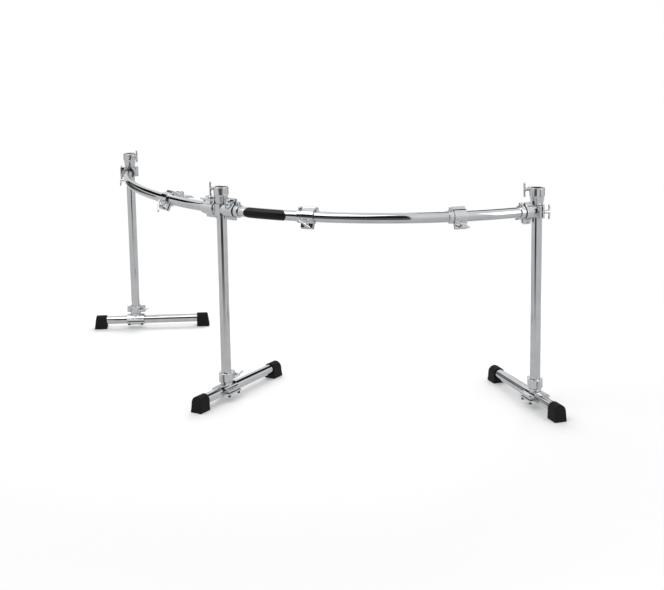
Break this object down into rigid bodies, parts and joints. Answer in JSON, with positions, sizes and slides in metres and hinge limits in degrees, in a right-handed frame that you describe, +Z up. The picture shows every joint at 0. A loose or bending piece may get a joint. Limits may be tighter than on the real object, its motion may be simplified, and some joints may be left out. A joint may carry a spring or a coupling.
{
  "type": "drum rack frame",
  "caption": "Curved drum rack of bent horizontal bars clamped to upright posts on T-shaped legs with rubber feet, sliding bar clamps, stop collars, boom sockets and T-bolts.",
  "frame": {"origin": "on the floor under the middle of the bounding box", "axes": "+Z up; +X along the chord of the front bar, from the centre post to the right post as the audience sees it; +Y towards the drummer, away from the audience"},
  "size_m": [2.0812, 1.2508, 0.8368],
  "materials": {
    "chrome_tube": "polished chrome plating on drawn steel tube",
    "cast_chrome": "polished chrome plating on die castings and forgings",
    "rubber": "black moulded rubber, satin"
  },
  "bodies": {
    "centre_post": {"post_centre": "chrome_tube", "boom_collar_centre": "cast_chrome"},
    "centre_foot": {"foot_bar_centre": "chrome_tube", "rubber_foot_inner_centre": "rubber", "rubber_foot_outer_centre": "rubber", "base_clamp_centre": "cast_chrome", "base_cap_centre": "cast_chrome"},
    "rack": {"front_bar": "chrome_tube", "side_bar": "chrome_tube", "rack_clamp_centre": "cast_chrome", "rack_clamp_left": "cast_chrome", "rack_clamp_right": "cast_chrome", "memory_lock_centre_left": "cast_chrome", "memory_lock_centre_right": "cast_chrome", "memory_lock_right": "cast_chrome"},
    "left_post": {"post_left": "chrome_tube", "boom_collar_left": "cast_chrome"},
    "right_post": {"post_right": "chrome_tube", "boom_collar_right": "cast_chrome"},
    "left_foot": {"foot_bar_left": "chrome_tube", "rubber_foot_inner_left": "rubber", "rubber_foot_outer_left": "rubber", "base_clamp_left": "cast_chrome", "base_cap_left": "cast_chrome"},
    "right_foot": {"foot_bar_right": "chrome_tube", "rubber_foot_inner_right": "rubber", "rubber_foot_outer_right": "rubber", "base_clamp_right": "cast_chrome", "base_cap_right": "cast_chrome"},
    "front_jaw": {"front_jaw_centre": "cast_chrome"},
    "left_bar_jaw": {"bar_jaw_left": "cast_chrome"},
    "right_bar_jaw": {"bar_jaw_right": "cast_chrome"},
    "left_post_jaw": {"post_jaw_left": "cast_chrome"},
    "right_post_jaw": {"post_jaw_right": "cast_chrome"},
    "clamp_a": {"bar_clamp_a": "cast_chrome", "memory_lock_a": "cast_chrome"},
    "clamp_b": {"bar_clamp_b": "cast_chrome", "memory_lock_b": "cast_chrome"},
    "clamp_c": {"bar_clamp_c": "cast_chrome"},
    "clamp_jaw_a": {"bar_clamp_jaw_a": "cast_chrome"},
    "clamp_jaw_b": {"bar_clamp_jaw_b": "cast_chrome"},
    "clamp_jaw_c": {"bar_clamp_jaw_c": "cast_chrome"},
    "centre_base_bolt": {"base_t_bolt_centre": "cast_chrome"},
    "centre_collar_bolt": {"collar_t_bolt_centre": "cast_chrome"},
    "left_base_bolt": {"base_t_bolt_left": "cast_chrome"},
    "left_collar_bolt": {"collar_t_bolt_left": "cast_chrome"},
    "right_base_bolt": {"base_t_bolt_right": "cast_chrome"},
    "right_collar_bolt": {"collar_t_bolt_right": "cast_chrome"},
    "left_bar_bolt": {"bar_t_bolt_left": "cast_chrome"},
    "left_post_bolt": {"post_t_bolt_left": "cast_chrome"},
    "centre_bolt_left": {"centre_t_bolt_left": "cast_chrome"},
    "right_bar_bolt": {"bar_t_bolt_right": "cast_chrome"},
    "right_post_bolt": {"post_t_bolt_right": "cast_chrome"},
    "centre_bolt_right": {"centre_t_bolt_right": "cast_chrome"},
    "clamp_bolt_a": {"bar_clamp_t_bolt_a": "cast_chrome"},
    "boom_bolt_a": {"boom_t_bolt_a": "cast_chrome"},
    "clamp_bolt_b": {"bar_clamp_t_bolt_b": "cast_chrome"},
    "boom_bolt_b": {"boom_t_bolt_b": "cast_chrome"},
    "clamp_bolt_c": {"bar_clamp_t_bolt_c": "cast_chrome"},
    "boom_bolt_c": {"boom_t_bolt_c": "cast_chrome"}
  },
  "joints": [
    {"name": "rack_height", "type": "slide", "parent": "centre_post", "child": "rack", "axis": [0, 0, 1], "range_m": [-0.45, 0]},
    {"name": "left_post_height", "type": "slide", "parent": "rack", "child": "left_post", "axis": [0, 0, 1], "range_m": [0, 0.45]},
    {"name": "right_post_height", "type": "slide", "parent": "rack", "child": "right_post", "axis": [0, 0, 1], "range_m": [0, 0.45]},
    {"name": "centre_foot_turn", "type": "hinge", "parent": "centre_post", "child": "centre_foot", "pos_m": [-0.22331, -0.42359, 0.038], "axis": [0, 0, 1], "range_deg": [-45, 45]},
    {"name": "left_foot_turn", "type": "hinge", "parent": "left_post", "child": "left_foot", "pos_m": [-0.8489, 0.54375, 0.038], "axis": [0, 0, 1], "range_deg": [-45, 45]},
    {"name": "right_foot_turn", "type": "hinge", "parent": "right_post", "child": "right_foot", "pos_m": [0.93669, -0.42359, 0.038], "axis": [0, 0, 1], "range_deg": [-45, 45]},
    {"name": "front_jaw_swing", "type": "hinge", "parent": "rack", "child": "front_jaw", "pos_m": [-0.22331, -0.42359, 0.704], "axis": [0.8387, -0.5446, 0], "range_deg": [0, 45]},
    {"name": "left_bar_jaw_swing", "type": "hinge", "parent": "rack", "child": "left_bar_jaw", "pos_m": [-0.84358, 0.54457, 0.76553], "axis": [0.1526, -0.9883, 0], "range_deg": [0, 75]},
    {"name": "left_post_jaw_swing", "type": "hinge", "parent": "rack", "child": "left_post_jaw", "pos_m": [-0.81973, 0.55424, 0.735], "axis": [0, 0, -1], "range_deg": [0, 75]},
    {"name": "right_bar_jaw_swing", "type": "hinge", "parent": "rack", "child": "right_bar_jaw", "pos_m": [0.93962, -0.4281, 0.76553], "axis": [-0.8387, -0.5446, 0], "range_deg": [0, 75]},
    {"name": "right_post_jaw_swing", "type": "hinge", "parent": "rack", "child": "right_post_jaw", "pos_m": [0.92508, -0.39485, 0.735], "axis": [0, 0, 1], "range_deg": [0, 75]},
    {"name": "clamp_a_along_bar", "type": "hinge", "parent": "rack", "child": "clamp_a", "pos_m": [0.35669, 0.46962, 0.735], "axis": [0, 0, 1], "range_deg": [-2, 12]},
    {"name": "clamp_b_along_bar", "type": "hinge", "parent": "rack", "child": "clamp_b", "pos_m": [0.35669, 0.46962, 0.735], "axis": [0, 0, 1], "range_deg": [-12, 10]},
    {"name": "clamp_c_along_bar", "type": "hinge", "parent": "rack", "child": "clamp_c", "pos_m": [0.54458, 0.75897, 0.735], "axis": [0, 0, -1], "range_deg": [-8, 30]},
    {"name": "clamp_jaw_a_swing", "type": "hinge", "parent": "clamp_a", "child": "clamp_jaw_a", "pos_m": [0.12714, -0.55692, 0.7631], "axis": [-0.9759, 0.2182, 0], "range_deg": [0, 75]},
    {"name": "clamp_jaw_b_swing", "type": "hinge", "parent": "clamp_b", "child": "clamp_jaw_b", "pos_m": [0.65542, -0.53897, 0.7631], "axis": [-0.9588, -0.284, 0], "range_deg": [0, 75]},
    {"name": "clamp_jaw_c_swing", "type": "hinge", "parent": "clamp_c", "child": "clamp_jaw_c", "pos_m": [-0.47031, -0.20089, 0.7631], "axis": [-0.6871, 0.7265, 0], "range_deg": [0, 75]},
    {"name": "centre_base_bolt_spin", "type": "hinge", "parent": "centre_foot", "child": "centre_base_bolt", "pos_m": [-0.19803, -0.39467, 0.0895], "axis": [0.9019, -0.432, 0], "continuous": true},
    {"name": "centre_collar_bolt_spin", "type": "hinge", "parent": "centre_post", "child": "centre_collar_bolt", "pos_m": [-0.24993, -0.39508, 0.8088], "axis": [-0.866, -0.5, 0], "continuous": true},
    {"name": "left_base_bolt_spin", "type": "hinge", "parent": "left_foot", "child": "left_base_bolt", "pos_m": [-0.81068, 0.53995, 0.0895], "axis": [0.1716, -0.9852, 0], "continuous": true},
    {"name": "left_collar_bolt_spin", "type": "hinge", "parent": "left_post", "child": "left_collar_bolt", "pos_m": [-0.82763, 0.51105, 0.8088], "axis": [0.9397, 0.342, 0], "continuous": true},
    {"name": "right_base_bolt_spin", "type": "hinge", "parent": "right_foot", "child": "right_base_bolt", "pos_m": [0.92986, -0.38579, 0.0895], "axis": [0.9003, 0.4352, 0], "continuous": true},
    {"name": "right_collar_bolt_spin", "type": "hinge", "parent": "right_post", "child": "right_collar_bolt", "pos_m": [0.91007, -0.39508, 0.8088], "axis": [-0.866, -0.5, 0], "continuous": true},
    {"name": "left_bar_bolt_spin", "type": "hinge", "parent": "rack", "child": "left_bar_bolt", "pos_m": [-0.85863, 0.49823, 0.70035], "axis": [-0.9733, -0.1503, 0.1736], "continuous": true},
    {"name": "left_post_bolt_spin", "type": "hinge", "parent": "left_post_jaw", "child": "left_post_bolt", "pos_m": [-0.8872, 0.54092, 0.735], "axis": [-0.3384, 0.941, 0], "continuous": true},
    {"name": "centre_bolt_left_spin", "type": "hinge", "parent": "front_jaw", "child": "centre_bolt_left", "pos_m": [-0.27253, -0.40391, 0.772], "axis": [-0.5446, -0.8387, 0], "continuous": true},
    {"name": "right_bar_bolt_spin", "type": "hinge", "parent": "rack", "child": "right_bar_bolt", "pos_m": [0.89119, -0.43338, 0.70035], "axis": [-0.5363, 0.826, 0.1736], "continuous": true},
    {"name": "right_post_bolt_spin", "type": "hinge", "parent": "right_post_jaw", "child": "right_post_bolt", "pos_m": [0.9601, -0.45404, 0.735], "axis": [0.9272, 0.3746, 0], "continuous": true},
    {"name": "centre_bolt_right_spin", "type": "hinge", "parent": "front_jaw", "child": "centre_bolt_right", "pos_m": [-0.1853, -0.46055, 0.772], "axis": [-0.5446, -0.8387, 0], "continuous": true},
    {"name": "clamp_bolt_a_spin", "type": "hinge", "parent": "clamp_jaw_a", "child": "clamp_bolt_a", "pos_m": [0.11883, -0.59408, 0.70582], "axis": [-0.1978, -0.8845, 0.4226], "continuous": true},
    {"name": "boom_bolt_a_spin", "type": "hinge", "parent": "clamp_a", "child": "boom_bolt_a", "pos_m": [0.14115, -0.49427, 0.735], "axis": [0.2182, 0.9759, 0], "continuous": true},
    {"name": "clamp_bolt_b_spin", "type": "hinge", "parent": "clamp_jaw_b", "child": "clamp_bolt_b", "pos_m": [0.66624, -0.57547, 0.70582], "axis": [0.2574, -0.869, 0.4226], "continuous": true},
    {"name": "boom_bolt_b_spin", "type": "hinge", "parent": "clamp_b", "child": "boom_bolt_b", "pos_m": [0.63719, -0.47741, 0.735], "axis": [-0.284, 0.9588, 0], "continuous": true},
    {"name": "clamp_bolt_c_spin", "type": "hinge", "parent": "clamp_jaw_c", "child": "clamp_bolt_c", "pos_m": [-0.49797, -0.22705, 0.70582], "axis": [-0.6585, -0.6228, 0.4226], "continuous": true},
    {"name": "boom_bolt_c_spin", "type": "hinge", "parent": "clamp_c", "child": "boom_bolt_c", "pos_m": [-0.42367, -0.15677, 0.735], "axis": [0.7265, 0.6871, 0], "continuous": true}
  ],
  "couplings": [
    {"joint": "left_post_height", "follows": "rack_height", "ratio": -1},
    {"joint": "right_post_height", "follows": "rack_height", "ratio": -1}
  ]
}
